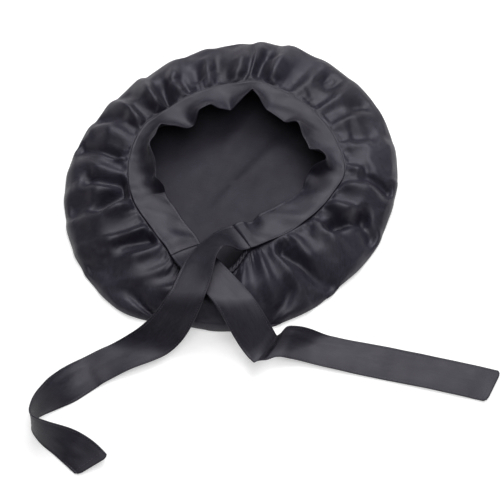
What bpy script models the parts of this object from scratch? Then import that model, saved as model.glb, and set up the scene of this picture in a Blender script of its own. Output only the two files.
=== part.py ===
"""Sleep bonnet in gathered satin, lying on its crown with the opening up.

The origin is the centre of the crown's flat underside. The opening faces +Z and
the nape, where the two ties leave the band, faces -Y. All sizes are in metres.
"""

import math
from collections import namedtuple

import bpy
import numpy as np
from mathutils import Vector

# Driving sizes
CROWN_RADIUS = 0.175        # centre to the crown's outer fold, on average
CROWN_HEIGHT = 0.034        # floor to the top of the puffed side
SEAM_DROP = 0.004           # how far the band's seam lies below that top
NAPE_SINK = 0.0075          # how much lower the gathered nape edge lies
OPENING_RADIUS = 0.108      # centre to the band's seam, on average
CLOTH = 0.0012              # wall of the crown
PLEAT_DEPTH = 0.0065        # height of the deepest pleat
RIM_WAVE = 0.0025           # how far a pleat pushes the outer fold outwards
STRIP_WIDTH = 0.035         # the band and the ties are one width of strip
STRIP_THICKNESS = 0.0014    # two plies of the same cloth
TIE_LENGTH = 0.364
TUCK = 0.0015               # crown edge that runs under the band
CASING_WIDTH = 0.008        # gathered tunnel for the nape elastic
CASING_THICKNESS = 0.0026
RUCHE_PITCH = 0.0042        # one gather of the tunnel
RUCHE_DEPTH = 0.0006
CASING_SIDES = 8            # faces round the tunnel
RUCHE_STATIONS = 4          # rings along one gather, from peak to peak
GAP = 0.0003                # clearance between neighbouring pieces

# Places round the opening, in degrees from +X
BAND_START = 282.0          # right end, where the left tie begins
BAND_END = 598.0            # left end, where the right tie begins, after most of a turn
CASING_MARGIN = 2.2         # angle left free at each end of the nape tunnel

SEAM_HEIGHT = CROWN_HEIGHT - SEAM_DROP
TURN = 360.0
PLEAT_FADE = 1.3            # share of the way out at which a pleat would be gone
LEAN_RATE = 1.4             # how soon across the band its full lean is reached

# Outline of the crown and of the opening: shares of CROWN_RADIUS, OPENING_RADIUS and,
# for how much lower the opening's edge lies, of NAPE_SINK
Outline = namedtuple("Outline", "angle crown opening sink")
OUTLINE = [
    Outline(0, 0.983, 1.075, 0.0),
    Outline(20, 1.007, 1.050, 0.0),
    Outline(42, 1.023, 1.027, 0.0),
    Outline(58, 1.020, 1.017, 0.0),
    Outline(76, 1.004, 1.028, 0.0),
    Outline(90, 0.959, 0.975, 0.0),
    Outline(110, 0.919, 0.948, 0.0),
    Outline(131, 0.908, 0.932, 0.0),
    Outline(150, 0.934, 0.998, 0.0),
    Outline(174, 0.989, 1.002, 0.0),
    Outline(197, 1.022, 0.996, 0.0),
    Outline(215, 1.047, 0.978, 0.0),
    Outline(231, 1.055, 1.018, 0.0),
    Outline(245, 1.003, 1.140, 0.75),
    Outline(258, 0.966, 1.215, 1.0),
    Outline(270, 0.962, 1.060, 0.95),
    Outline(283, 0.955, 0.848, 0.45),
    Outline(300, 0.941, 0.836, 0.0),
    Outline(314, 0.924, 0.860, 0.0),
    Outline(331, 0.944, 0.920, 0.0),
    Outline(345, 0.954, 0.985, 0.0),
]

# Section of the crown from under the rim to the seam. reach runs from the seam (0)
# to the outer fold (1), rise is a share of CROWN_HEIGHT, drop of SEAM_DROP, and
# pleat and wave of PLEAT_DEPTH and RIM_WAVE.
Section = namedtuple("Section", "reach rise drop pleat wave")
SECTIONS = [
    Section(0.74, 0.00, 0.0, 0.00, 0.0),
    Section(0.93, 0.05, 0.0, 0.00, 0.4),
    Section(1.00, 0.34, 0.0, 0.00, 1.0),
    Section(0.96, 0.68, 0.0, 0.15, 0.8),
    Section(0.84, 0.91, 0.0, 0.45, 0.4),
    Section(0.66, 1.00, 0.0, 0.75, 0.0),
    Section(0.44, 1.00, 0.2, 1.00, 0.0),
    Section(0.24, 0.99, 0.5, 1.00, 0.0),
    Section(0.10, 0.98, 0.8, 0.65, 0.0),
    Section(0.02, 0.99, 1.0, 0.05, 0.0),
]

# Pleats: where each crease meets the seam and where it points at the rim, how far
# it runs as a share of the way, how deep its pleat is as a share of PLEAT_DEPTH,
# and which side of the pleat is the steep one.
Pleat = namedtuple("Pleat", "seam rim run depth side")
PLEATS = [
    Pleat(5, 1, 0.85, 0.80, 1),
    Pleat(19, 17, 0.70, 0.75, 1),
    Pleat(30, 32, 0.75, 0.80, 1),
    Pleat(44, 46, 0.80, 0.85, 1),
    Pleat(61, 60, 0.82, 0.90, 1),
    Pleat(74, 72, 0.88, 0.80, 1),
    Pleat(84, 84, 0.75, 0.90, -1),
    Pleat(99, 97, 0.55, 0.85, -1),
    Pleat(114, 109, 0.70, 1.00, -1),
    Pleat(130, 126, 0.85, 1.10, -1),
    Pleat(145, 142, 0.78, 0.90, -1),
    Pleat(156, 153, 0.88, 1.10, -1),
    Pleat(170, 166, 0.90, 1.00, -1),
    Pleat(179, 174, 0.55, 0.70, -1),
    Pleat(187, 183, 0.45, 0.80, -1),
    Pleat(195, 194, 0.55, 1.20, -1),
    Pleat(213, 205, 0.60, 0.90, -1),
    Pleat(226, 213, 0.50, 0.80, -1),
    Pleat(236, 221, 0.95, 0.75, -1),
    Pleat(246, 232, 0.95, 0.70, -1),
    Pleat(257, 246, 0.60, 0.60, -1),
    Pleat(269, 264, 0.60, 0.60, 1),
    Pleat(280, 280, 0.90, 0.90, 1),
    Pleat(289, 291, 0.85, 0.80, 1),
    Pleat(298, 301, 0.85, 0.95, 1),
    Pleat(313, 311, 0.85, 1.05, 1),
    Pleat(330, 327, 0.80, 1.00, 1),
    Pleat(342, 340, 0.60, 0.85, 1),
    Pleat(354, 353, 0.90, 0.80, 1),
]

# Dents in the puffed side: where, how far out, how wide, how long, and how deep.
# out and long are shares of the way from the seam to the rim, deep of CROWN_HEIGHT.
Dent = namedtuple("Dent", "angle out wide long deep")
DENTS = [
    Dent(19, 0.60, 7, 0.20, 0.10),
    Dent(75, 0.35, 6, 0.20, 0.12),
    Dent(128, 0.50, 7, 0.30, 0.14),
    Dent(163, 0.60, 6, 0.30, 0.18),
    Dent(193, 0.30, 6, 0.25, 0.20),
    Dent(221, 0.40, 7, 0.20, 0.15),
    Dent(283, 0.62, 7, 0.25, 0.14),
    Dent(312, 0.50, 7, 0.30, 0.18),
    Dent(336, 0.62, 8, 0.24, 0.22),
    Dent(355, 0.68, 6, 0.20, 0.14),
]

# One pleat across, from the foot of its crease (0) to the next crease (1)
Fold = namedtuple("Fold", "across lift")
FOLDS = [Fold(0.0, 0.0), Fold(0.30, 0.45), Fold(0.66, 0.85), Fold(0.90, 1.0)]

# Band: how far it leans up (+) or down (-) into the opening, and how much more it
# curls up towards its free edge, in degrees
Lean = namedtuple("Lean", "angle lean curl")
LEANS = [
    Lean(282, -14, 0),
    Lean(291, -26, 5),
    Lean(300, -18, 5),
    Lean(312, -17, 5),
    Lean(328, -24, 5),
    Lean(340, -35, 10),
    Lean(348, -16, 40),
    Lean(355, 33, 52),
    Lean(362, 62, 26),
    Lean(369, 55, 10),
    Lean(376, 20, 10),
    Lean(385, 25, 10),
    Lean(396, 39, 10),
    Lean(407, 12, 5),
    Lean(421, 16, 5),
    Lean(431, 47, 10),
    Lean(439, 59, 10),
    Lean(446, 43, 10),
    Lean(455, 3, 5),
    Lean(463, 18, 5),
    Lean(471, 40, 10),
    Lean(479, 40, 10),
    Lean(490, 8, 5),
    Lean(499, 41, 10),
    Lean(510, 61, 10),
    Lean(526, 64, 10),
    Lean(537, 37, 20),
    Lean(545, 16, 52),
    Lean(552, 25, 52),
    Lean(560, -18, 12),
    Lean(570, -17, 5),
    Lean(584, -21, 5),
    Lean(598, -18, 0),
]

# Route of each tie: its place along the tie as a share of TIE_LENGTH, the way it
# heads, the skew of its rib, how far its right-hand edge is rolled up and over,
# and its height over what it lies on as a share of STRIP_WIDTH.
Step = namedtuple("Step", "share heading skew roll lift")
LEFT_TIE = [
    Step(0.00, 204, 0, -15, 0.0),
    Step(0.06, 221, 0, -42, 0.0),
    Step(0.12, 235, 0, -37, 0.0),
    Step(0.17, 252, 0, -24, 0.08),
    Step(0.23, 248, 0, -10, 0.12),
    Step(0.31, 228, 0, -6, 0.06),
    Step(0.38, 210, 0, -8, 0.04),
    Step(0.44, 201, 0, -10, 0.02),
    Step(0.56, 210, 0, -4, 0.0),
    Step(0.65, 223, 0, 24, 0.0),
    Step(0.71, 222, 0, 55, 0.0),
    Step(0.77, 240, 0, 84, 0.0),
    Step(0.82, 322, 0, 106, 0.0),
    Step(0.88, 336, 0, 128, 0.0),
    Step(0.94, 328, 0, 152, 0.0),
    Step(1.00, 313, 0, 168, 0.0),
]
RIGHT_TIE = [
    Step(0.000, -59, 0, 10, 0.0),
    Step(0.130, -49, 0, 8, 0.0),
    Step(0.250, -54, 0, 4, 0.08),
    Step(0.335, -52, 10, 4, 0.30),
    Step(0.356, -50, 9, 6, 0.36),
    Step(0.364, 34, -75, 8, 0.34),
    Step(0.395, 36, -66, 16, 0.06),
    Step(0.425, 2, -27, 18, 0.0),
    Step(0.456, -4, -17, 13, 0.0),
    Step(0.510, -13, -4, 6, 0.0),
    Step(0.700, -12, 0, 0, 0.0),
    Step(1.000, -14, 0, 0, 0.0),
]
TIE_STATIONS = 64           # ribs along one tie
BAND_STATIONS = 118         # ribs along the band
STRIP_SPANS = 4             # faces across a strip
END_CUT = 0.25              # slant of a tie's end, as a share of its width

# Where a tie comes down off the crown, as shares of the crown's own outline
DRAPE_START = 0.90
DRAPE_END = 1.22
JOIN = 0.11                 # share of a tie over which it leaves the band's own slope


def smooth(share):
    """An S-shaped step from 0 to 1."""
    share = min(max(share, 0.0), 1.0)
    return share * share * (3 - 2 * share)


def blend(rows, column, at, turn=None):
    """A column of a table at one place, through a curve with no overshoot at flats."""
    keys = [row[0] for row in rows]
    values = [getattr(row, column) for row in rows]
    if turn:
        at = keys[0] + (at - keys[0]) % turn
        keys = [keys[-1] - turn] + keys + [keys[0] + turn, keys[1] + turn]
        values = [values[-1]] + values + values[:2]
    else:
        at = min(max(at, keys[0]), keys[-1])
        keys = [2 * keys[0] - keys[1]] + keys + [2 * keys[-1] - keys[-2]]
        values = [values[0]] + values + [values[-1]]
    index = min(max(int(np.searchsorted(keys, at, "right")) - 1, 1), len(keys) - 3)
    span = keys[index + 1] - keys[index]
    t = (at - keys[index]) / span
    slopes = []
    for k in (index, index + 1):
        before = (values[k] - values[k - 1]) / (keys[k] - keys[k - 1])
        after = (values[k + 1] - values[k]) / (keys[k + 1] - keys[k])
        flat = before * after <= 0
        slopes.append(0.0 if flat else 2 * before * after / (before + after) * span)
    a, b = values[index], values[index + 1]
    return (
        a * (2 * t**3 - 3 * t**2 + 1)
        + slopes[0] * (t**3 - 2 * t**2 + t)
        + b * (3 * t**2 - 2 * t**3)
        + slopes[1] * (t**3 - t**2)
    )


def rim_radius(angle):
    return CROWN_RADIUS * blend(OUTLINE, "crown", angle, TURN)


def seam_radius(angle):
    return OPENING_RADIUS * blend(OUTLINE, "opening", angle, TURN)


def on_circle(radius, angle, height):
    turn = math.radians(angle)
    return Vector((radius * math.cos(turn), radius * math.sin(turn), height))


def nape_sink(angle):
    return NAPE_SINK * blend(OUTLINE, "sink", angle, TURN)


def seam_point(angle, inset, height):
    return on_circle(seam_radius(angle) - inset, angle, height)


def crown_columns():
    """Each line up the side of the crown, as (seam angle, rim angle, lift, run)."""
    columns = []
    for index, pleat in enumerate(PLEATS):
        after = PLEATS[(index + 1) % len(PLEATS)]
        seam_pitch = (after.seam - pleat.seam) % TURN
        rim_pitch = (after.rim - pleat.rim) % TURN
        across = FOLDS
        if pleat.side < 0:
            across = [Fold(0.0, 0.0)] + [Fold(1 - f.across, f.lift) for f in FOLDS[:0:-1]]
        for fold in across:
            columns.append((
                pleat.seam + seam_pitch * fold.across,
                pleat.rim + rim_pitch * fold.across,
                pleat.depth * fold.lift,
                pleat.run + (after.run - pleat.run) * fold.across,
            ))
    return columns


def dent_at(angle, out):
    """How far the dents push the cloth down at one place."""
    total = 0.0
    for dent in DENTS:
        around = ((angle - dent.angle + TURN / 2) % TURN - TURN / 2) / dent.wide
        along = (out - dent.out) / dent.long
        total += dent.deep * math.exp(-around * around - along * along)
    return CROWN_HEIGHT * total


def crown_point(section, column):
    seam_angle, rim_angle, lift, run = column
    angle = seam_angle + (rim_angle - seam_angle) * smooth(section.reach)
    inner, outer = seam_radius(angle), rim_radius(angle)
    lift *= 1 - smooth((section.reach - run) / (PLEAT_FADE - run)) * (section.wave < 1)
    radius = inner + (outer - inner) * section.reach + RIM_WAVE * lift * section.wave
    drop = SEAM_DROP + nape_sink(angle)
    height = CROWN_HEIGHT * section.rise - drop * section.drop
    if section.pleat > 0:
        height += PLEAT_DEPTH * lift * section.pleat
        height -= dent_at(angle, section.reach) * min(section.pleat * 2, 1)
    return on_circle(radius, angle, height)


def crown_edge(column):
    """The last point of the crown's wall, tucked under the band or the nape tunnel."""
    return seam_point(column[0], TUCK, SEAM_HEIGHT - GAP - nape_sink(column[0]))


def make_object(name, points, faces, material):
    mesh = bpy.data.meshes.new(name)
    mesh.from_pydata(points, [], faces)
    mesh.validate()
    mesh.shade_smooth()
    mesh.materials.append(material)
    obj = bpy.data.objects.new(name, mesh)
    bpy.data.collections["sleep_bonnet"].objects.link(obj)
    return obj


def thicken(obj, thickness, offset):
    solid = obj.modifiers.new("wall", "SOLIDIFY")
    solid.thickness = thickness
    solid.offset = offset
    solid.use_even_offset = False
    return obj


def grid_faces(rows, columns, closed):
    """Quads between rows of points. A closed grid joins its last column to its first."""
    faces = []
    for row in range(rows - 1):
        for column in range(columns if closed else columns - 1):
            after = (column + 1) % columns
            low, high = row * columns, (row + 1) * columns
            faces.append((low + column, low + after, high + after, high + column))
    return faces


def make_crown(material):
    """One cloth from the flat underside, round the outer fold, to the gathered edge."""
    columns = crown_columns()
    rows = [[crown_point(section, column) for column in columns] for section in SECTIONS]
    rows.append([crown_edge(column) for column in columns])
    points = [point for row in rows for point in row]
    faces = grid_faces(len(rows), len(columns), closed=True)
    faces.append(tuple(reversed(range(len(columns)))))
    return thicken(make_object("crown", points, faces, material), CLOTH, -1.0)


def band_rib(angle):
    """Points across the band at one place, from the seam to the free edge."""
    lean = math.radians(blend(LEANS, "lean", angle))
    curl = math.radians(blend(LEANS, "curl", angle))
    step = 1.0
    along = seam_point(angle + step, 0, 0) - seam_point(angle - step, 0, 0)
    inward = Vector((-along.y, along.x, 0)).normalized()
    start = seam_point(angle, 0.0, SEAM_HEIGHT + GAP + STRIP_THICKNESS / 2)
    ribs, point, last = [start.copy()], start.copy(), 0.0
    for index in range(1, STRIP_SPANS + 1):
        share = index / STRIP_SPANS
        slope = (lean + curl * (share + last - 1)) * smooth(share * LEAN_RATE)
        reach = STRIP_WIDTH * (share - last)
        point += inward * reach * math.cos(slope) + Vector((0, 0, reach * math.sin(slope)))
        ribs.append(point.copy())
        last = share
    return ribs


def make_strip(name, ribs, material):
    points = [point for rib in ribs for point in rib]
    faces = grid_faces(len(ribs), len(ribs[0]), closed=False)
    return thicken(make_object(name, points, faces, material), STRIP_THICKNESS, 0.0)


def make_band(material):
    angles = np.linspace(BAND_START, BAND_END, BAND_STATIONS)
    return make_strip("band", [band_rib(angle) for angle in angles], material)


def drape(x, y):
    """Height of what lies under a tie at that place: the crown, then the floor."""
    angle = math.degrees(math.atan2(y, x))
    share = math.hypot(x, y) / rim_radius(angle)
    fall = smooth((share - DRAPE_START) / (DRAPE_END - DRAPE_START))
    return (CROWN_HEIGHT + PLEAT_DEPTH) * (1 - fall)


def tie_rib(place, step_at, cut):
    """One rib across a tie, laid over what is below it."""
    heading = math.radians(step_at["heading"])
    turn = heading - math.pi / 2 + math.radians(step_at["skew"])
    roll = math.radians(step_at["roll"])
    side = Vector((math.cos(turn), math.sin(turn), 0)) * math.cos(roll)
    side.z = math.sin(roll)
    half = STRIP_WIDTH / 2
    height = half * abs(side.z) + STRIP_THICKNESS / 2 + STRIP_WIDTH * step_at["lift"]
    rib = []
    for span in range(STRIP_SPANS + 1):
        across = half * (2 * span / STRIP_SPANS - 1)
        point = place + side * across
        point += Vector((math.cos(heading), math.sin(heading), 0)) * cut * across
        point.z += height + drape(point.x, point.y)
        rib.append(point)
    return rib


def tie_ribs(steps, band_end, cut):
    """Ribs along a tie. It carries on from the band's last rib, then follows its route."""
    heading = math.radians(steps[0].heading)
    onward = Vector((math.cos(heading), math.sin(heading), 0))
    first = [point + onward * GAP for point in band_end]
    start = (first[0] + first[-1]) / 2
    place = Vector((start.x, start.y, 0))
    ribs = []
    for station in range(TIE_STATIONS + 1):
        share = station / TIE_STATIONS
        step_at = {name: blend(steps, name, share) for name in Step._fields[1:]}
        rib = tie_rib(place, step_at, cut if station == TIE_STATIONS else 0.0)
        away = smooth(share / JOIN)
        carried = Vector((place.x - start.x, place.y - start.y, 0))
        rib = [(one + carried).lerp(other, away) for one, other in zip(first, rib)]
        ribs.append(rib)
        heading = math.radians(step_at["heading"])
        onward = Vector((math.cos(heading), math.sin(heading), 0))
        place += onward * TIE_LENGTH / TIE_STATIONS
    return ribs


def make_left_tie(material):
    """Leaves the band's right end and crosses over the other tie."""
    ribs = tie_ribs(LEFT_TIE, band_rib(BAND_START), END_CUT)
    return make_strip("tie_left", ribs, material)


def make_right_tie(material):
    """Carries the band's left end straight on, under the other tie."""
    band_end = list(reversed(band_rib(BAND_END)))
    ribs = tie_ribs(RIGHT_TIE, band_end, -END_CUT)
    return make_strip("tie_right", ribs, material)


def make_nape_casing(material):
    """The gathered tunnel that holds the elastic between the band's two ends."""
    first = BAND_END - TURN + CASING_MARGIN
    last = BAND_START - CASING_MARGIN
    length = math.radians(last - first) * OPENING_RADIUS
    gathers = round(length / RUCHE_PITCH)
    stations = gathers * RUCHE_STATIONS
    middle = GAP + (CASING_THICKNESS + RUCHE_DEPTH) / 2
    corner_turn = math.tau / CASING_SIDES
    widen = 1 / math.cos(corner_turn / 2)      # so that the flat sides stand at full width
    rings = []
    for station in range(stations + 1):
        angle = first + (last - first) * station / stations
        ruche = RUCHE_DEPTH * math.cos(math.tau * station / RUCHE_STATIONS)
        half_width = CASING_WIDTH / 2 + ruche
        half_height = CASING_THICKNESS / 2 + ruche / 2
        centre = SEAM_HEIGHT - nape_sink(angle) + middle
        ring = []
        for corner in range(CASING_SIDES):
            turn = -corner_turn * (corner + 0.5)
            inset = CASING_WIDTH / 2 - half_width * math.cos(turn) * widen
            ring.append(seam_point(angle, inset, centre + half_height * math.sin(turn)))
        rings.append(ring)
    points = [point for ring in rings for point in ring]
    faces = grid_faces(len(rings), CASING_SIDES, closed=True)
    faces.append(tuple(reversed(range(CASING_SIDES))))
    faces.append(tuple(range(len(points) - CASING_SIDES, len(points))))
    return make_object("nape_casing", points, faces, material)


def make_material(name, colour, roughness):
    material = bpy.data.materials.new(name)
    material.use_nodes = True
    shader = material.node_tree.nodes["Principled BSDF"]
    shader.inputs["Base Color"].default_value = (*colour, 1.0)
    shader.inputs["Roughness"].default_value = roughness
    shader.inputs["Metallic"].default_value = 0.0
    return material


def main():
    for obj in list(bpy.data.objects):
        bpy.data.objects.remove(obj)
    collection = bpy.data.collections.new("sleep_bonnet")
    bpy.context.scene.collection.children.link(collection)
    crown_satin = make_material("crown_satin", (0.035, 0.034, 0.040), 0.36)
    strip_satin = make_material("strip_satin", (0.040, 0.039, 0.045), 0.42)
    gathered_satin = make_material("gathered_satin", (0.030, 0.029, 0.035), 0.5)
    make_crown(crown_satin)
    make_band(strip_satin)
    make_left_tie(strip_satin)
    make_right_tie(strip_satin)
    make_nape_casing(gathered_satin)


main()
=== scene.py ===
# Sleep bonnet in charcoal satin, lying on its crown with the opening up.
import math

import bpy
import numpy as np
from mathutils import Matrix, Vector


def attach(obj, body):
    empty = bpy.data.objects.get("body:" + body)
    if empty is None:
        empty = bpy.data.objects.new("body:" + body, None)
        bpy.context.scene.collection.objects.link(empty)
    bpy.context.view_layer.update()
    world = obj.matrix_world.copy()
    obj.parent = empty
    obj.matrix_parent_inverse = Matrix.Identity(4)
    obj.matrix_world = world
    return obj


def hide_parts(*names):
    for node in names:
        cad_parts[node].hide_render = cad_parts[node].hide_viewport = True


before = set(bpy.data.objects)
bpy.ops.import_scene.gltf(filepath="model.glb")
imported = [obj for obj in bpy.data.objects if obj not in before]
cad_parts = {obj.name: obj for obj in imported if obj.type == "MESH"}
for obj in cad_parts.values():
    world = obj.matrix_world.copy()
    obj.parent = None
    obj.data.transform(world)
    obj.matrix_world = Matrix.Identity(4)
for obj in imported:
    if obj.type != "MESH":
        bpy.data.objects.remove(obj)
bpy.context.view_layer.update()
print("frame loaded")

fullTurn = 360.0

# the sizes and tables below repeat the part's own, in metres and degrees
crown = {
    "radius": 0.175,
    "height": 0.034,
    "seamDrop": 0.004,
    "napeSink": 0.0075,
    "openingRadius": 0.108,
    "cloth": 0.0007,
    "pleatDepth": 0.0092,       # deeper than in the solids, for the photograph's contrast
    "hollow": 1.6,              # the same for the hollows
    "hollowEnd": 0.10,
    "hollowOnset": 1.6,
    "easing": 2,                # times that the draped folds are evened out
    "rimWave": 0.0022,
    "tuck": 0.0015,
    "gap": 0.0003,
    "columns": 400,             # columns of the draped grid, doubled afterwards
    "baseRings": 12,            # rings over the flat underside
    "firstRing": 0.03,
    "lastRing": 0.96,
    "sideRings": 46,            # rings from under the rim to the seam
    "slope": 0.05,              # how far the side falls from the seam to the rim
    "frontSlope": 0.24,         # and how much further on the nape side
    "slopeStart": 0.45,
    "slopeRun": 0.45,
    "lean": 1.7,                # how far a fold leans to its steep side
    "uneven": 0.35,
    "tilt": 0.22,               # how unlike each other the facets are
    "minor": 0.22,              # small second folds near the seam
    "flatCut": 0.49,            # width of the round cloth it was cut from
    "wander": 2.6,              # degrees a crease strays from its line
    "ripple": 0.0012,           # soft unevenness of the puffed side
    "broadRipple": (0.045, 0.7),
    "smallRipple": (0.018, 0.3),
    "rippleOnset": 4,
    "topFrom": 0.55,            # share of the height above which it is puffed side
    "flatUpTo": 0.004,
    "flatReach": 0.7,
    "lint": (0.0005, 0.06),     # unevenness of the flat underside
    "shirrDepth": 0.0016,       # gathers at the nape elastic
    "shirrPitch": 2.3,          # degrees from one gather to the next
    "shirrReach": 0.34,
    "shirrMiddle": 262,
    "shirrSpread": 24.0,
    "gatherDepth": 0.0003,      # small gathers all along the band's seam
    "gatherPitch": 3.1,
    "gatherReach": 0.26,
    "wallFloor": 0.0002,
    "seed": 11,
}
# one facet between two tucks: small second fold, and how the folds fade in and out
facet = {
    "middle": 0.42,
    "middleSwing": 0.16,
    "secondWidth": 0.13,
    "secondReach": 0.8,
    "onset": 0.05,
    "fade": 0.72,
    "fadeStart": 0.55,
    "fadeRun": 0.75,
    "sink": 0.3,
}
sideStep = 2        # the sections after this one are above the rim's underside
# angle, crown share, opening share, nape sink share
outline = np.array([
    (0, 0.983, 1.075, 0.0), (20, 1.007, 1.050, 0.0), (42, 1.023, 1.027, 0.0),
    (58, 1.020, 1.017, 0.0), (76, 1.004, 1.028, 0.0), (90, 0.959, 0.975, 0.0),
    (110, 0.919, 0.948, 0.0), (131, 0.908, 0.932, 0.0), (150, 0.934, 0.998, 0.0),
    (174, 0.989, 1.002, 0.0), (197, 1.022, 0.996, 0.0), (215, 1.047, 0.978, 0.0),
    (231, 1.055, 1.018, 0.0), (245, 1.003, 1.140, 0.75), (258, 0.966, 1.215, 1.0),
    (270, 0.962, 1.060, 0.95), (283, 0.955, 0.848, 0.45), (300, 0.941, 0.836, 0.0),
    (314, 0.924, 0.860, 0.0), (331, 0.944, 0.920, 0.0), (345, 0.954, 0.985, 0.0),
])
# place along the section, reach, rise, drop, pleat, wave
sections = np.array([
    (0, 0.74, 0.00, 0.0, 0.00, 0.0), (1, 0.94, 0.05, 0.0, 0.00, 0.4),
    (2, 1.00, 0.25, 0.0, 0.30, 1.0), (3, 0.98, 0.45, 0.0, 0.70, 0.8),
    (4, 0.91, 0.67, 0.0, 0.90, 0.4), (5, 0.73, 0.86, 0.0, 1.00, 0.0),
    (6, 0.45, 1.00, 0.2, 1.00, 0.0), (7, 0.24, 1.00, 0.5, 1.00, 0.0),
    (8, 0.10, 0.98, 0.8, 0.65, 0.0), (9, 0.02, 0.99, 1.0, 0.05, 0.0),
])
# seam angle, rim angle, run, depth, steep side
folds = [
    (5, 1, 0.85, 0.80, 1), (19, 17, 0.70, 0.75, 1), (30, 32, 0.75, 0.80, 1),
    (44, 46, 0.80, 0.85, 1), (61, 60, 0.82, 0.90, 1), (74, 72, 0.88, 0.80, 1),
    (84, 84, 0.75, 0.90, -1), (99, 97, 0.55, 0.85, -1), (114, 109, 0.70, 1.00, -1),
    (130, 126, 0.85, 1.10, -1), (145, 142, 0.78, 0.90, -1), (156, 153, 0.88, 1.10, -1),
    (170, 166, 0.90, 1.00, -1), (179, 174, 0.55, 0.70, -1), (187, 183, 0.45, 0.80, -1),
    (195, 194, 0.55, 1.20, -1), (213, 205, 0.60, 0.90, -1), (226, 213, 0.50, 0.80, -1),
    (236, 221, 0.95, 0.75, -1), (246, 232, 0.95, 0.70, -1), (257, 246, 0.60, 0.60, -1),
    (269, 264, 0.60, 0.60, 1), (280, 280, 0.90, 0.90, 1), (289, 291, 0.85, 0.80, 1),
    (298, 301, 0.85, 0.95, 1), (313, 311, 0.85, 1.05, 1), (330, 327, 0.80, 1.00, 1),
    (342, 340, 0.60, 0.85, 1), (354, 353, 0.90, 0.80, 1),
]
# hollows: inner angle and reach, outer angle and reach, how wide in degrees, how deep
hollows = [
    (192, 0.12, 197, 0.50, 3.5, 0.26), (223, 0.07, 216, 0.43, 3.0, 0.20),
    (329, 0.34, 338, 0.60, 4.0, 0.26), (338, 0.60, 334, 0.86, 4.0, 0.22),
    (359, 0.40, 354, 0.84, 3.4, 0.22), (300, 0.20, 309, 0.90, 3.4, 0.20),
    (293, 0.70, 284, 0.95, 4.0, 0.12), (171, 0.25, 168, 0.85, 3.0, 0.22),
    (188, 0.08, 183, 0.60, 2.6, 0.20), (193, 0.70, 193, 0.85, 4.0, 0.10),
    (151, 0.50, 154, 0.85, 3.0, 0.12), (129, 0.15, 126, 0.45, 3.2, 0.18),
    (116, 0.15, 118, 0.40, 3.0, 0.10), (108, 0.30, 107, 0.50, 3.5, 0.16),
    (99, 0.35, 98, 0.50, 3.0, 0.08), (78, 0.20, 76, 0.55, 3.0, 0.16),
    (48, 0.52, 48, 0.64, 3.5, 0.14), (32, 0.60, 31, 0.76, 3.0, 0.12),
    (18, 0.35, 17, 0.60, 4.0, 0.10), (222, 0.55, 216, 0.90, 3.0, 0.12),
    (236, 0.80, 246, 0.95, 3.5, 0.14),
]
# soft ridges in the flat underside: x, y, heading, half width, half length, height
floorRidges = [
    (-0.003, 0.050, 53, 0.009, 0.050, 0.0042),
    (0.016, 0.008, 50, 0.010, 0.060, 0.0046),
    (-0.040, 0.012, 60, 0.012, 0.040, 0.0020),
    (0.052, 0.030, 46, 0.012, 0.045, 0.0024),
]

strip = {
    "width": 0.035,
    "thickness": 0.0013,
    "gap": 0.0003,
    "cadThickness": 0.0014,
    "groove": 0.0022,           # from the edge to the sunk row of stitches
    "hinge": 1.4,               # how soon the band leans once it leaves its seam
}
# distance from the edge, share of the thickness
edgeProfile = [(0, 0.35), (0.0009, 1.15), (strip["groove"], 0.62), (0.006, 1.0)]
# shares of the width, closer together at the stitched edges
acrossHalf = [0.0, 0.012, 0.026, 0.044, 0.063, 0.085, 0.12, 0.17, 0.23, 0.29, 0.36, 0.43]
across = np.array(acrossHalf + [0.5] + [1 - share for share in reversed(acrossHalf)])
band = {"start": 282.0, "end": 598.0, "stations": 620}
# angle, lean, curl
leans = np.array([
    (282, -14, 0), (291, -26, 5), (300, -18, 5), (312, -17, 5), (328, -24, 5),
    (340, -35, 10), (348, -16, 40), (355, 33, 52), (362, 62, 26), (369, 55, 10),
    (376, 20, 10), (385, 25, 10), (396, 39, 10), (407, 12, 5), (421, 16, 5),
    (431, 47, 10), (439, 59, 10), (446, 43, 10), (455, 3, 5), (463, 18, 5),
    (471, 40, 10), (479, 40, 10), (490, 8, 5), (499, 41, 10), (510, 61, 10),
    (526, 64, 10), (537, 37, 20), (545, 16, 52), (552, 25, 52), (560, -18, 12),
    (570, -17, 5), (584, -21, 5), (598, -18, 0),
], float)

ties = {
    "length": 0.364,
    "stations": 300,
    "endCut": 0.25,
    "drapeStart": 0.90,
    "drapeEnd": 1.22,
    "join": 0.11,
    "softTurn": 0.05,           # rounds the place where a rolled tie comes down flat
    "cutStart": 0.93,
    "corner": 0.006,            # rounding of the two free corners
    "cornerPull": 0.55,
    "cornerStart": 0.96,
}
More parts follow.
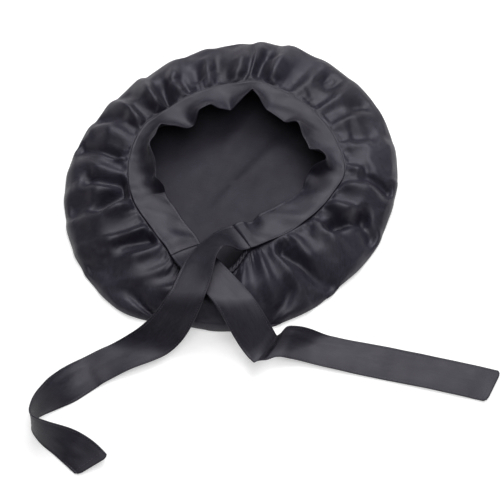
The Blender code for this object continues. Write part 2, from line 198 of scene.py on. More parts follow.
# share, heading, skew, roll, lift
leftRoute = np.array([
    (0.00, 204, 0, -15, 0.0), (0.06, 221, 0, -42, 0.0), (0.12, 235, 0, -37, 0.0),
    (0.17, 252, 0, -24, 0.08), (0.23, 248, 0, -10, 0.12), (0.31, 228, 0, -6, 0.06),
    (0.38, 210, 0, -8, 0.04), (0.44, 201, 0, -10, 0.02), (0.56, 210, 0, -4, 0.0),
    (0.65, 223, 0, 24, 0.0), (0.71, 222, 0, 55, 0.0), (0.77, 240, 0, 84, 0.0),
    (0.82, 322, 0, 106, 0.0), (0.88, 336, 0, 128, 0.0), (0.94, 328, 0, 152, 0.0),
    (1.00, 313, 0, 168, 0.0),
])
rightRoute = np.array([
    (0.000, -59, 0, 10, 0.0), (0.130, -49, 0, 8, 0.0), (0.250, -54, 0, 4, 0.08),
    (0.335, -52, 10, 4, 0.30), (0.356, -50, 9, 6, 0.36), (0.364, 34, -75, 8, 0.34),
    (0.395, 36, -66, 16, 0.06), (0.425, 2, -27, 18, 0.0), (0.456, -4, -17, 13, 0.0),
    (0.510, -13, -4, 6, 0.0), (0.700, -12, 0, 0, 0.0), (1.000, -14, 0, 0, 0.0),
])

# pressed creases along the ribbon: from, to, place across, how wide, how high
leftCreases = [
    (0.24, 0.40, 0.30, 0.035, -0.0005), (0.30, 0.56, 0.62, 0.045, 0.0005),
    (0.44, 0.66, 0.35, 0.05, -0.0006), (0.56, 0.72, 0.72, 0.06, -0.0006),
    (0.86, 0.98, 0.45, 0.10, 0.0006),
]
rightCreases = [
    (0.06, 0.34, 0.29, 0.030, -0.0006), (0.08, 0.34, 0.36, 0.030, 0.0004),
    (0.12, 0.30, 0.70, 0.040, 0.0003), (0.40, 0.62, 0.25, 0.06, -0.0007),
    (0.46, 0.97, 0.55, 0.035, 0.0003), (0.60, 0.97, 0.30, 0.030, -0.0003),
]
creaseEnd = 0.04        # share of the ribbon over which a crease dies out
creaseSway = 0.03       # how far it strays across, as a share of the width
heldStations = 12       # stations at each end that the ripple leaves in place
# depth, size and seed of each strip's unevenness
unevenness = {
    "band": (0.0010, 0.026, 3), "left": (0.0005, 0.034, 4), "right": (0.0004, 0.040, 5),
}

casing = {
    "width": 0.008,
    "thickness": 0.0026,
    "ruche": 0.0009,
    "pitch": 0.0038,            # from one ruche to the next
    "margin": 2.2,              # degrees from the band's ends
    "sides": 16,
    "stationsPerRuche": 8,
    "sinkWide": 0.0008,         # how far the cloth sinks between two ruches
    "sinkHigh": 0.0004,
    "rise": 0.7,
    "swell": (0.6, 1.3),
    "seed": 7,
    "roundCloth": 0.02,
    "stationCloth": 0.0005,
    "seamInset": 0.0022,
    "seamStations": 90,
    "seamMargin": 1,
}


def smoothStep(share):
    share = np.clip(share, 0.0, 1.0)
    return share * share * (3 - 2 * share)


def tableCurve(table, column, at, turn=None):
    # a curve through one column, level at each peak, as the part's own tables are read
    keys, values = table[:, 0].astype(float), table[:, column].astype(float)
    at = np.asarray(at, float)
    if turn:
        at = keys[0] + (at - keys[0]) % turn
        keys = np.concatenate([[keys[-1] - turn], keys, [keys[0] + turn, keys[1] + turn]])
        values = np.concatenate([[values[-1]], values, values[:2]])
    else:
        at = np.clip(at, keys[0], keys[-1])
        keys = np.concatenate([[2 * keys[0] - keys[1]], keys, [2 * keys[-1] - keys[-2]]])
        values = np.concatenate([[values[0]], values, [values[-1]]])
    rises = np.diff(values) / np.diff(keys)
    before, after = rises[:-1], rises[1:]
    slopes = np.zeros(len(keys))
    same = before * after > 0
    slopes[1:-1][same] = 2 * before[same] * after[same] / (before[same] + after[same])
    index = np.clip(np.searchsorted(keys, at, "right") - 1, 1, len(keys) - 3)
    span = keys[index + 1] - keys[index]
    t = (at - keys[index]) / span
    return (
        values[index] * (2 * t**3 - 3 * t**2 + 1)
        + slopes[index] * span * (t**3 - 2 * t**2 + t)
        + values[index + 1] * (3 * t**2 - 2 * t**3)
        + slopes[index + 1] * span * (t**3 - t**2)
    )


def rimRadius(angle):
    return crown["radius"] * tableCurve(outline, 1, angle, fullTurn)


def seamRadius(angle):
    return crown["openingRadius"] * tableCurve(outline, 2, angle, fullTurn)


def napeSink(angle):
    return crown["napeSink"] * tableCurve(outline, 3, angle, fullTurn)


def onCircle(radius, angle, height):
    turn = np.radians(angle)
    return np.stack(np.broadcast_arrays(radius * np.cos(turn), radius * np.sin(turn), height), -1)


def softNoise(points, size, seed, waves=14):
    # smooth unevenness from -1 to 1, made of crossing waves
    rng = np.random.default_rng(seed)
    total = np.zeros(points.shape[:-1])
    for _ in range(waves):
        way = rng.normal(size=points.shape[-1])
        way /= np.linalg.norm(way)
        length = size * rng.uniform(0.6, 1.7)
        total += np.sin(points @ way * 2 * math.pi / length + rng.uniform(0, 2 * math.pi))
    return total / math.sqrt(waves)


def makeMesh(name, points, faces, uv=None, material=None):
    mesh = bpy.data.meshes.new(name)
    mesh.from_pydata([tuple(p) for p in points], [], faces)
    mesh.validate()
    if uv is not None:
        layer = mesh.uv_layers.new(name="UVMap")
        corner = np.empty(len(mesh.loops), np.int32)
        mesh.loops.foreach_get("vertex_index", corner)
        layer.data.foreach_set("uv", np.asarray(uv, np.float32)[corner].ravel())
    mesh.shade_smooth()
    obj = bpy.data.objects.new(name, mesh)
    bpy.context.scene.collection.objects.link(obj)
    if material:
        mesh.materials.append(material)
    return obj


def gridFaces(rows, columns, closed):
    faces = []
    for row in range(rows - 1):
        low, high = row * columns, (row + 1) * columns
        for column in range(columns if closed else columns - 1):
            after = (column + 1) % columns
            faces.append((low + column, low + after, high + after, high + column))
    return faces


def applyModifiers(obj):
    graph = bpy.context.evaluated_depsgraph_get()
    mesh = bpy.data.meshes.new_from_object(obj.evaluated_get(graph), depsgraph=graph)
    obj.modifiers.clear()
    obj.data = mesh
    return obj


def thicken(obj, thickness, offset):
    wall = obj.modifiers.new("wall", "SOLIDIFY")
    wall.material_offset = wall.material_offset_rim = len(obj.data.materials) - 1
    wall.thickness = thickness
    wall.offset = offset
    wall.use_even_offset = False
    return applyModifiers(obj)


# materials

class Wire:
    # one socket of a shader tree, with arithmetic
    def __init__(self, tree, socket):
        self.tree, self.socket = tree, socket

    def math(self, operation, other, swap=False):
        first, second = (other, self) if swap else (self, other)
        return addNode(self.tree, "ShaderNodeMath", {"operation": operation}, {0: first, 1: second})

    def __add__(self, other):
        return self.math("ADD", other)

    def __radd__(self, other):
        return self.math("ADD", other, True)

    def __sub__(self, other):
        return self.math("SUBTRACT", other)

    def __rsub__(self, other):
        return self.math("SUBTRACT", other, True)

    def __mul__(self, other):
        return self.math("MULTIPLY", other)

    def __rmul__(self, other):
        return self.math("MULTIPLY", other, True)


def addNode(tree, kind, settings=None, inputs=None, output=0):
    node = tree.nodes.new(kind)
    for key, value in (settings or {}).items():
        if key == "stops":
            ramp = node.color_ramp
            while len(ramp.elements) < len(value):
                ramp.elements.new(0.5)
            for element, (place, level) in zip(ramp.elements, value):
                element.position = place
                element.color = (level, level, level, 1)
        else:
            setattr(node, key, value)
    for key, value in (inputs or {}).items():
        if isinstance(value, Wire):
            tree.links.new(value.socket, node.inputs[key])
        else:
            node.inputs[key].default_value = value
    return Wire(tree, node.outputs[output])


def noiseNode(tree, place, rate, detail):
    inputs = {"Vector": place, "Scale": rate, "Detail": detail}
    return addNode(tree, "ShaderNodeTexNoise", None, inputs)


def scaled(color, share):
    return tuple(channel * share for channel in color[:3]) + (1,)


def paintBetween(tree, factor, dark, light):
    mix = tree.nodes.new("ShaderNodeMix")
    mix.data_type = "RGBA"
    tree.links.new(factor.socket, mix.inputs["Factor"])
    mix.inputs["A"].default_value = dark
    mix.inputs["B"].default_value = light
    tree.links.new(mix.outputs["Result"], tree.nodes["Principled BSDF"].inputs["Base Color"])


satin = {
    "dark": (0.0020, 0.0015, 0.0042, 1),
    "light": (0.0145, 0.0125, 0.0215, 1),
    "roughness": 0.455,
    "roughnessSwing": 0.16,
    "shine": (0.93, 0.91, 1.0, 1),      # tint of the highlights
    "sheen": 0.03,
    "sheenRoughness": 0.35,
    "coat": 0.0,
    "coatRoughness": 0.24,
    "weavePitch": 0.00070,      # metres from one thread to the next
    "weaveDepth": 0.35,
    "weaveHeight": 0.0002,
    "slub": 0.6,                # share of the slubs in the weave's height
    "slubRate": (150, 560, 1),  # slubs to the metre, along the cloth and across it
    "cloudRate": 22.0,          # broad patches to the metre
    "rubRate": 70.0,            # worn patches to the metre
    "softHeight": 0.002,
    "tintRange": [(0.36, 0.0), (0.64, 1.0)],
}


def satinMaterial(name, tone=1.0, gloss=0.0, crease=0.25):
    material = bpy.data.materials.new(name)
    material.use_nodes = True
    tree = material.node_tree
    shader = tree.nodes["Principled BSDF"]
    place = addNode(tree, "ShaderNodeTexCoord", output=3)
    cloth = addNode(tree, "ShaderNodeUVMap", {"uv_map": "UVMap"})
    threads = math.pi / 10 / satin["weavePitch"]      # a wave texture's scale for that pitch
    warp = addNode(
        tree, "ShaderNodeTexWave", {"wave_type": "BANDS", "bands_direction": "DIAGONAL"},
        {
            "Vector": cloth, "Scale": threads * 2,
            "Distortion": 0.5, "Detail": 1.0, "Detail Scale": 2.0,
        },
        1,
    )
    weft = addNode(
        tree, "ShaderNodeTexWave", {"wave_type": "BANDS", "bands_direction": "Y"},
        {"Vector": cloth, "Scale": threads, "Distortion": 0.3, "Detail": 0.0}, 1,
    )
    stretch = addNode(
        tree, "ShaderNodeMapping", {"vector_type": "POINT"},
        {"Vector": cloth, "Scale": satin["slubRate"]},
    )
    slubs = noiseNode(tree, stretch, 1.0, 3.0)
    cloud = noiseNode(tree, place, satin["cloudRate"], 4.0)
    rub = noiseNode(tree, place, satin["rubRate"], 5.0)
    tint = cloud * 0.40 + slubs * 0.42 + warp * 0.18
    level = addNode(tree, "ShaderNodeValToRGB", {"stops": satin["tintRange"]}, {"Fac": tint})
    # tone lightens or darkens the colour; on the crown's outer face it is painted light, on its
    # inner face painted shade
    paintBetween(tree, level, scaled(satin["dark"], tone), scaled(satin["light"], tone))
    swing = satin["roughnessSwing"]
    rough = satin["roughness"] - gloss - swing + (rub + slubs) * swing
    tree.links.new(rough.socket, shader.inputs["Roughness"])
    shader.inputs["Metallic"].default_value = 0.0
    shader.inputs["Specular Tint"].default_value = satin["shine"]
    shader.inputs["Sheen Weight"].default_value = satin["sheen"]
    shader.inputs["Sheen Roughness"].default_value = satin["sheenRoughness"]
    shader.inputs["Coat Weight"].default_value = satin["coat"]
    shader.inputs["Coat Roughness"].default_value = satin["coatRoughness"]
    soft = addNode(
        tree, "ShaderNodeBump", None,
        {
            "Strength": crease, "Distance": satin["softHeight"],
            "Height": cloud * 0.6 + rub * 0.4 + slubs * 0.09,
        },
    )
    weave = addNode(
        tree, "ShaderNodeBump", None,
        {
            "Strength": satin["weaveDepth"], "Distance": satin["weaveHeight"],
            "Height": warp * 0.5 + weft * 0.35 + slubs * satin["slub"], "Normal": soft,
        },
    )
    tree.links.new(weave.socket, shader.inputs["Normal"])
    return material


# copies of one satin; the crown's outer face has its colour lightened as painted light
crownLitSatin = satinMaterial("crown_satin", 1.3, -0.06)
innerShadedSatin = satinMaterial("inner_satin_painted_shade", 1.0, -0.26, 0.35)      # the dull wrong side, seen inside; its colour is also darkened as painted shade inside the crown
stripSatin = satinMaterial("strip_satin", 1.05, -0.07, 0.14)
gatheredSatin = satinMaterial("gathered_satin", 0.85, -0.06)
print("materials made")


# crown

def foldHeight(angle, reach):
    # the facets between one ring's tucks, each leaning up to its steep edge
    seam, rim, run, depth, side = (np.array(column, float) for column in zip(*folds))
    rng = np.random.default_rng(crown["seed"])
    bow, tilt, minor, spot = rng.uniform(-1, 1, (4, len(folds)))
    turned = (rim - seam + 180) % fullTurn - 180
    bowed = crown["wander"] * bow * math.sin(math.pi * min(reach, 1.0))
    lines = seam + turned * float(smoothStep(reach)) + bowed
    angle = lines[0] + (angle - lines[0]) % fullTurn
    index = np.searchsorted(lines, angle, "right") - 1
    lines = np.append(lines, lines[0] + fullTurn)
    share = (angle - lines[index]) / (lines[index + 1] - lines[index])
    up = np.where(side[index] > 0, share, 1 - share)
    lift = 0.5 - 0.5 * np.cos(2 * math.pi * up ** crown["lean"])
    lift += crown["tilt"] * tilt[index] * np.sin(math.pi * share) ** 2
    middle = facet["middle"] + facet["middleSwing"] * spot[index]
    second = np.exp(-(((share - middle) / facet["secondWidth"]) ** 2))
    second = second * (1 - float(smoothStep(reach / facet["secondReach"])))
    lift += crown["minor"] * minor[index] * second
    reached = run[index] + (np.roll(run, -1)[index] - run[index]) * share
    past = (reach - facet["fadeStart"] * reached) / (facet["fadeRun"] * reached)
    fade = float(smoothStep(reach / facet["onset"])) * (1 - facet["fade"] * smoothStep(past))
    return (depth[index] * (1 + crown["uneven"] * spot[index]) * lift - facet["sink"]) * fade


def hollowDepth(angle, reach):
    # the dark hollows between folds, each a short valley
    total = np.zeros_like(angle)
    for start, inner, end, outer, wide, deep in hollows:
        run = outer - inner
        along = min(max((reach - inner) / run, 0.0), 1.0)
        line = start + (end - start) * along
        around = ((angle - line + 180) % fullTurn - 180) / wide
        past = (reach - inner - along * run) / crown["hollowEnd"]
        total += deep * np.exp(-around**2 - past**2)
    return crown["height"] * crown["hollow"] * total


def crownPoints(angle, step):
    reach, rise, drop, pleat, wave = (float(tableCurve(sections, k, step)) for k in range(1, 6))
    inner, outer = seamRadius(angle), rimRadius(angle)
    fold = foldHeight(angle, reach if step > sideStep else 1.0)
    radius = inner + (outer - inner) * reach + crown["rimWave"] * fold * wave
    front = 0.5 - 0.5 * np.sin(np.radians(angle))       # the nape side slopes down to a thinner rim
    fall = smoothStep((reach - crown["slopeStart"]) / crown["slopeRun"])
    rise = rise * (1 - (crown["slope"] + crown["frontSlope"] * front) * fall)
    height = crown["height"] * rise - (crown["seamDrop"] + napeSink(angle)) * drop
    height = height + crown["pleatDepth"] * fold * pleat
    if step > sideStep:
        height = height - hollowDepth(angle, reach) * min(pleat * crown["hollowOnset"], 1)
    return onCircle(radius, angle, np.maximum(height, 0.0))


drapeRun = {
    "frames": 14,
    "quality": 6,
    "mass": 0.02,               # kg a vertex
    "damping": 3.0,
    "stretch": 40.0,
    "shear": 10.0,
    "bend": 0.6,
    "grow": 0.055,              # how much the cloth grows
    "pressure": 0.0,            # none is added, but the air inside holds its volume
    "gravity": 0.0,
    "cap": 0.005,               # no point moves further than this, in metres
    "keepOutline": 0.7,         # share of the outward push that is taken out again
}


def vertexPlaces(obj):
    places = np.empty(len(obj.data.vertices) * 3, np.float32)
    obj.data.vertices.foreach_get("co", places)
    return places.reshape(-1, 3).astype(float)


def simulateCrown(obj, held):
    # the satin grows a little between its held seam and base, so it buckles as gathered cloth does
    group = obj.vertex_groups.new(name="held")
    group.add([int(index) for index in np.flatnonzero(held)], 1.0, "REPLACE")
    cloth = obj.modifiers.new("drape", "CLOTH")
    settings = cloth.settings
    settings.quality = drapeRun["quality"]
    settings.mass = drapeRun["mass"]
    settings.air_damping = drapeRun["damping"]
    settings.tension_stiffness = drapeRun["stretch"]
    settings.compression_stiffness = drapeRun["stretch"]
    settings.shear_stiffness = drapeRun["shear"]
    settings.bending_stiffness = drapeRun["bend"]
    settings.vertex_group_mass = "held"
    settings.shrink_min = -drapeRun["grow"]
    settings.use_pressure = True
    settings.uniform_pressure_force = drapeRun["pressure"]
    settings.effector_weights.gravity = drapeRun["gravity"]
    cloth.collision_settings.use_collision = False
    cloth.collision_settings.use_self_collision = False
    cloth.point_cache.frame_start = 1
    cloth.point_cache.frame_end = drapeRun["frames"]
    scene = bpy.context.scene
    for number in range(1, drapeRun["frames"] + 1):
        scene.frame_set(number)
    before = vertexPlaces(obj)
    applyModifiers(obj)
    scene.frame_set(1)
    move = vertexPlaces(obj) - before
    bpy.data.objects.remove(obj)
    size = np.linalg.norm(move, axis=1)
    print("crown drape moved up to", round(float(size.max()) * 1000, 1), "mm")
    move *= np.minimum(1, drapeRun["cap"] / np.maximum(size, 1e-9))[:, None]
    radius = np.maximum(np.hypot(before[:, 0], before[:, 1]), 1e-6)[:, None]
    # the rim keeps its outline, so little of the push outwards is kept
    outward = before[:, :2] / radius
    along = (move[:, :2] * outward).sum(1)[:, None]
    move[:, :2] -= outward * along * drapeRun["keepOutline"]
    return before + move


def makeCrown():
    columns, rings, start = crown["columns"], crown["sideRings"], crown["baseRings"]
    angle = np.linspace(0, fullTurn, columns, endpoint=False)
    steps = np.linspace(sections[0, 0], sections[-1, 0], rings)
    side = np.array([crownPoints(angle, step) for step in steps])
    edge = onCircle(
        seamRadius(angle) - crown["tuck"], angle,
        crown["height"] - crown["seamDrop"] - crown["gap"] - napeSink(angle),
    )
    inward = np.linspace(crown["firstRing"], crown["lastRing"], start)
    base = np.array([side[0] * share for share in inward])
    rows = np.concatenate([base, side, edge[None]])
    held = np.zeros(rows.shape[:2])
    held[: start + 1] = 1.0
    held[-3:] = 1.0
    loose = makeMesh("crown_drape", rows.reshape(-1, 3), gridFaces(len(rows), columns, True))
    rows = simulateCrown(loose, held.ravel()).reshape(rows.shape)
    for _ in range(crown["easing"]):
        rows = (np.roll(rows, 1, 1) + 2 * rows + np.roll(rows, -1, 1)) / 4
    rows = refined(rows.swapaxes(0, 1)).swapaxes(0, 1)
    points = rows.reshape(-1, 3)
    turn = np.degrees(np.arctan2(points[:, 1], points[:, 0])) % fullTurn
    inner = seamRadius(turn)
    reach = (np.hypot(points[:, 0], points[:, 1]) - inner) / (rimRadius(turn) - inner)
    above = points[:, 2] > crown["height"] * crown["topFrom"]
    points[:, 2] += np.where(above, fineGathers(turn, np.clip(reach, 0, 1)), 0)
    flat = (points[:, 2] < crown["flatUpTo"]) & (reach < crown["flatReach"])
    points[:, 2] += np.where(flat, floorWrinkles(points), 0)
    (broad, broadShare), (small, smallShare) = crown["broadRipple"], crown["smallRipple"]
    wave = softNoise(points, broad, crown["seed"]) * broadShare
    wave = wave + softNoise(points, small, crown["seed"] + 1) * smallShare
    points[:, 2] += crown["ripple"] * wave * smoothStep(reach * crown["rippleOnset"]) * above
    points[:, 2] = np.maximum(points[:, 2], 0)
    first = np.linalg.norm(rows[0, :, :2], axis=1).mean()
    spans = np.linalg.norm(np.diff(rows, axis=0), axis=2).mean(1)
    lengths = first + np.concatenate([[0], np.cumsum(spans)])
    # as on the flat round cut
    around = np.linspace(0, 2 * math.pi, rows.shape[1], endpoint=False)
    uv = lengths[:, None, None] * np.stack([np.cos(around), np.sin(around)], -1)[None]
    uv = uv.reshape(-1, 2)
    faces = gridFaces(len(rows), rows.shape[1], True)
    faces.append(tuple(reversed(range(rows.shape[1]))))
    cloth = makeMesh("crown_cloth", points, faces, uv, crownLitSatin)
    cloth.data.materials.append(innerShadedSatin)
    thicken(cloth, crown["cloth"], -1.0)
    for vertex in cloth.data.vertices:
        if vertex.co.z < 0:     # the inner face of a dent beside the floor
            vertex.co.z = crown["wallFloor"]
    return cloth


def refined(columns):
    # twice as many columns round the ring, rounded as a subdivision surface rounds them
    before, after = np.roll(columns, 1, 0), np.roll(columns, -1, 0)
    even, odd = (before + 6 * columns + after) / 8, (columns + after) / 2
    return np.stack([even, odd], 1).reshape(-1, *columns.shape[1:])


def fineGathers(angle, reach):
    # small waves by the seam, with sines that shift and swell them so that no two are alike
    turn = np.radians(angle)
    phase = turn * fullTurn / crown["gatherPitch"]
    phase = phase + 2.0 * np.sin(turn * 7) + 1.3 * np.sin(turn * 17)
    near = np.clip(1 - reach / crown["gatherReach"], 0, 1) * smoothStep(reach / 0.04)
    height = crown["gatherDepth"] * near * np.sin(phase) * (0.65 + 0.35 * np.sin(turn * 11))
    aside = (angle - crown["shirrMiddle"] + 180) % fullTurn - 180
    nape = np.exp(-((aside / crown["shirrSpread"]) ** 4))
    fade = np.clip(1 - reach / crown["shirrReach"], 0, 1) ** 1.3 * smoothStep(reach / 0.03)
    phase = turn * fullTurn / crown["shirrPitch"] + 2.2 * np.sin(angle * 0.31) + 5 * reach
    swell = 0.6 + 0.4 * np.sin(angle * 0.9)
    return height + crown["shirrDepth"] * nape * fade * swell * np.sin(phase)


def floorWrinkles(points):
    lifted = np.zeros(len(points))
    for x, y, heading, wide, long, high in floorRidges:
        turn = math.radians(heading)
        dx, dy = points[:, 0] - x, points[:, 1] - y
        along = dx * math.cos(turn) + dy * math.sin(turn)
        aside = dy * math.cos(turn) - dx * math.sin(turn)
        lifted += high * np.exp(-(aside / wide) ** 2 - (along / long) ** 4)
    depth, size = crown["lint"]
    return lifted + depth * (1 + softNoise(points, size, crown["seed"] + 2))


crownCloth = makeCrown()
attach(crownCloth, "root")
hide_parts("crown")
print("crown made:", len(crownCloth.data.polygons), "faces")


# strips

def bandRib(angle):
    lean, curl = (math.radians(float(tableCurve(leans, k, angle))) for k in (1, 2))
    ahead = onCircle(seamRadius(angle + 1), angle + 1, 0.0)
    behind = onCircle(seamRadius(angle - 1), angle - 1, 0.0)
    along = ahead - behind
    inward = np.array([-along[1], along[0], 0]) / math.hypot(along[0], along[1])
    height = crown["height"] - crown["seamDrop"] + strip["gap"] + strip["cadThickness"] / 2
    point = onCircle(seamRadius(angle), angle, height)
    rib, last = [point], 0.0
    for share in across[1:]:
        slope = (lean + curl * (share + last - 1)) * float(smoothStep(share * strip["hinge"]))
        reach = strip["width"] * (share - last)
        point = point + inward * reach * math.cos(slope) + np.array([0, 0, reach * math.sin(slope)])
        rib.append(point)
        last = share
    return np.array(rib)


def drape(x, y):
    share = np.hypot(x, y) / rimRadius(np.degrees(np.arctan2(y, x)))
    fall = smoothStep((share - ties["drapeStart"]) / (ties["drapeEnd"] - ties["drapeStart"]))
    return (crown["height"] + crown["pleatDepth"]) * (1 - fall)


def tieRibs(route, bandEnd, cut):
    length, stations = ties["length"], ties["stations"]
    sideways = strip["width"] * (across[:, None] - 0.5)
    heading = math.radians(route[0, 1])
    first = bandEnd + np.array([math.cos(heading), math.sin(heading), 0]) * strip["gap"]
    start = (first[0] + first[-1]) / 2
    place = np.array([start[0], start[1], 0.0])
    ribs = []
    for station in range(stations + 1):
        share = station / stations
        heading, skew, roll, lift = (float(tableCurve(route, k, share)) for k in range(1, 5))
        heading, roll = math.radians(heading), math.radians(roll)
        turn = heading - math.pi / 2 + math.radians(skew)
        side = np.array(
            [math.cos(turn) * math.cos(roll), math.sin(turn) * math.cos(roll), math.sin(roll)]
        )
        onward = np.array([math.cos(heading), math.sin(heading), 0])
        rib = place + sideways * side
        nearEdge = np.clip(1 - (strip["width"] / 2 - np.abs(sideways)) / ties["corner"], 0, 1)
        cutShare = float(smoothStep((share - ties["cutStart"]) / (1 - ties["cutStart"])))
        cornerShare = float(smoothStep((share - ties["cornerStart"]) / (1 - ties["cornerStart"])))
        rib += onward * cut * sideways * cutShare
        rib -= onward * ties["corner"] * ties["cornerPull"] * nearEdge**2 * cornerShare
        rib[:, 2] += strip["width"] / 2 * math.hypot(side[2], ties["softTurn"])
        rib[:, 2] += strip["cadThickness"] / 2 + strip["width"] * lift
        rib[:, 2] += drape(rib[:, 0], rib[:, 1])
        away = float(smoothStep(share / ties["join"]))
        carried = first + np.array([place[0] - start[0], place[1] - start[1], 0])
        ribs.append(carried * (1 - away) + rib * away)
        place = place + onward * length / stations
    return np.array(ribs)


def gridNormals(ribs):
    along = np.gradient(ribs, axis=0)
    across = np.gradient(ribs, axis=1)
    normal = np.cross(along, across)
    return normal / np.maximum(np.linalg.norm(normal, axis=-1, keepdims=True), 1e-9)


def plyHalf(edge):
    # half the thickness at a distance from the edge: rolled edge, then the stitches' groove
    places, shares = zip(*edgeProfile)
    return np.interp(edge, places, shares) * strip["thickness"] / 2


def closedStrip(name, ribs, material, floor=None):
    # two plies closed along both edges, pinched where the edges are stitched
    stations, points = ribs.shape[:2]
    normal = gridNormals(ribs)
    half = plyHalf(np.minimum(across, 1 - across) * strip["width"])
    upper, lower = ribs + normal * half[:, None], ribs - normal * half[:, None]
    loops = np.concatenate([upper, lower[:, ::-1]], axis=1)
    if floor is not None:
        loops[..., 2] = np.maximum(loops[..., 2], floor)
    ring = loops.shape[1]
    faces = []
    for station in range(stations - 1):
        low, high = station * ring, (station + 1) * ring
        for k in range(ring):
            after = (k + 1) % ring
            faces.append((low + k, high + k, high + after, low + after))
    for first, flip in ((0, False), ((stations - 1) * ring, True)):
        for k in range(points - 1):
            face = (first + k, first + k + 1, first + ring - 2 - k, first + ring - 1 - k)
            faces.append(face[::-1] if flip else face)
    steps = np.linalg.norm(np.diff(ribs[:, points // 2], axis=0), axis=1)
    length = np.concatenate([[0], np.cumsum(steps)])
    places = np.concatenate([across, across[::-1]]) * strip["width"]
    uv = np.stack(np.broadcast_arrays(length[:, None], places[None, :]), -1).reshape(-1, 2)
    obj = makeMesh(name, loops.reshape(-1, 3), faces, uv, material)
    corners = loops.reshape(-1, 3)[np.array(faces)[:, :3]]
    if np.einsum("ij,ij->i", corners[:, 0], np.cross(corners[:, 1], corners[:, 2])).sum() < 0:
        obj.data.flip_normals()
    return obj


def ripple(ribs, depth, size, seed, creases=()):
    normal = gridNormals(ribs)
    wave = softNoise(ribs, size, seed) * depth
    along = np.linspace(0, 1, len(ribs))[:, None]
    for start, end, place, wide, deep in creases:
        run = smoothStep((along - start) / creaseEnd) * smoothStep((end - along) / creaseEnd)
        line = place + creaseSway * np.sin(along * 23 + place * 9)
        wave = wave + deep * run * np.exp(-(((across[None] - line) / wide) ** 2))
    station = np.arange(len(ribs))
    hold = smoothStep(np.minimum(station, station[::-1]) / heldStations)
    return ribs + normal * (wave * hold[:, None])[..., None]


angles = np.linspace(band["start"], band["end"], band["stations"])
bandRibs = np.array([bandRib(angle) for angle in angles])
bandLength = float(np.linalg.norm(np.diff(bandRibs[:, 0], axis=0), axis=1).sum())
leftRibs = tieRibs(leftRoute, bandRibs[0], ties["endCut"])
rightRibs = tieRibs(rightRoute, bandRibs[-1][::-1], -ties["endCut"])
bandRibs = ripple(bandRibs, *unevenness["band"])
leftRibs = ripple(leftRibs, *unevenness["left"], leftCreases)
rightRibs = ripple(rightRibs, *unevenness["right"], rightCreases)
bandCloth = closedStrip("band_cloth", bandRibs, stripSatin)
leftCloth = closedStrip("tie_left_cloth", leftRibs, stripSatin, 0.0)
rightCloth = closedStrip("tie_right_cloth", rightRibs, stripSatin, 0.0)
for obj, node, length, held in (
    (bandCloth, "band", bandLength, "gathered"),
    (leftCloth, "tie_left", ties["length"], "laid"),
    (rightCloth, "tie_right", ties["length"], "laid"),
):
    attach(obj, "root")
    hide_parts(node)
print("band and ties made")


# nape casing

def makeCasing():
    first, last = band["end"] - fullTurn + casing["margin"], band["start"] - casing["margin"]
    length = math.radians(last - first) * crown["openingRadius"]
    gathers = round(length / casing["pitch"])
    steps, sides = casing["stationsPerRuche"], casing["sides"]
    stations = gathers * steps + 1
    swell = np.random.default_rng(casing["seed"]).uniform(*casing["swell"], gathers + 2)
    rings = []
    for station in range(stations):
        angle = first + (last - first) * station / (stations - 1)
        phase = station / steps
        ruche = casing["ruche"] * abs(math.sin(math.pi * phase)) * swell[int(phase)]
        halfWide = casing["width"] / 2 - casing["sinkWide"] + ruche
        halfHigh = casing["thickness"] / 2 - casing["sinkHigh"] + ruche * casing["rise"]
        middle = crown["height"] - crown["seamDrop"] - float(napeSink(angle))
        middle += strip["gap"] + casing["thickness"] / 2
        turn = -np.radians(fullTurn / sides * np.arange(sides))
        inset = casing["width"] / 2 - halfWide * np.cos(turn)
        rings.append(onCircle(seamRadius(angle) - inset, angle, middle + halfHigh * np.sin(turn)))
    points = np.concatenate(rings)
    faces = gridFaces(stations, sides, True)
    faces.append(tuple(reversed(range(sides))))
    faces.append(tuple(len(points) - sides + k for k in range(sides)))
    around = np.tile(np.arange(sides) / sides * casing["roundCloth"], stations)
    along = np.repeat(np.arange(stations) * casing["stationCloth"], sides)
    uv = np.stack([around, along], -1)
    return makeMesh("nape_casing_cloth", points, faces, uv, gatheredSatin)


napeCloth = makeCasing()
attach(napeCloth, "root")
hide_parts("nape_casing")
print("nape casing made")


# stitches

thread = {
    "pitch": 0.0027,            # from one stitch to the next
    "length": 0.0018,
    "width": 0.00055,
    "height": 0.00042,
    "uneven": 0.14,
    "segments": 6,
    "rings": 4,
    "seed": 5,
    "color": (0.034, 0.031, 0.046, 1),
    "shade": (0.55, 1.45),      # darkest and lightest share of the colour
    "roughness": 0.36,
    "roughnessSwing": 0.16,
    "twist": 0.0004,            # metres from one turn of the strand to the next
    "twistHeight": 0.0001,
    "patchRate": 260.0,         # worn patches to the metre
    "hem": 0.006,               # from a tie's end to the row of stitches across it
    "skipEdge": 4,              # columns at each edge that the hem's stitches leave free
}


def threadMaterial():
    material = bpy.data.materials.new("thread")
    material.use_nodes = True
    tree = material.node_tree
    shader = tree.nodes["Principled BSDF"]
    place = addNode(tree, "ShaderNodeTexCoord", output=3)
    strand = addNode(
        tree, "ShaderNodeTexWave", {"wave_type": "BANDS", "bands_direction": "DIAGONAL"},
        {"Vector": place, "Scale": math.pi / 10 / thread["twist"], "Distortion": 0.4}, 1,
    )
    patch = noiseNode(tree, place, thread["patchRate"], 2.0)
    dark, light = (scaled(thread["color"], share) for share in thread["shade"])
    paintBetween(tree, patch * 0.6 + strand * 0.4, dark, light)
    rough = thread["roughness"] + patch * thread["roughnessSwing"]
    tree.links.new(rough.socket, shader.inputs["Roughness"])
    bump = addNode(
        tree, "ShaderNodeBump", None,
        {"Strength": 0.5, "Distance": thread["twistHeight"], "Height": strand},
    )
    tree.links.new(bump.socket, shader.inputs["Normal"])
    return material


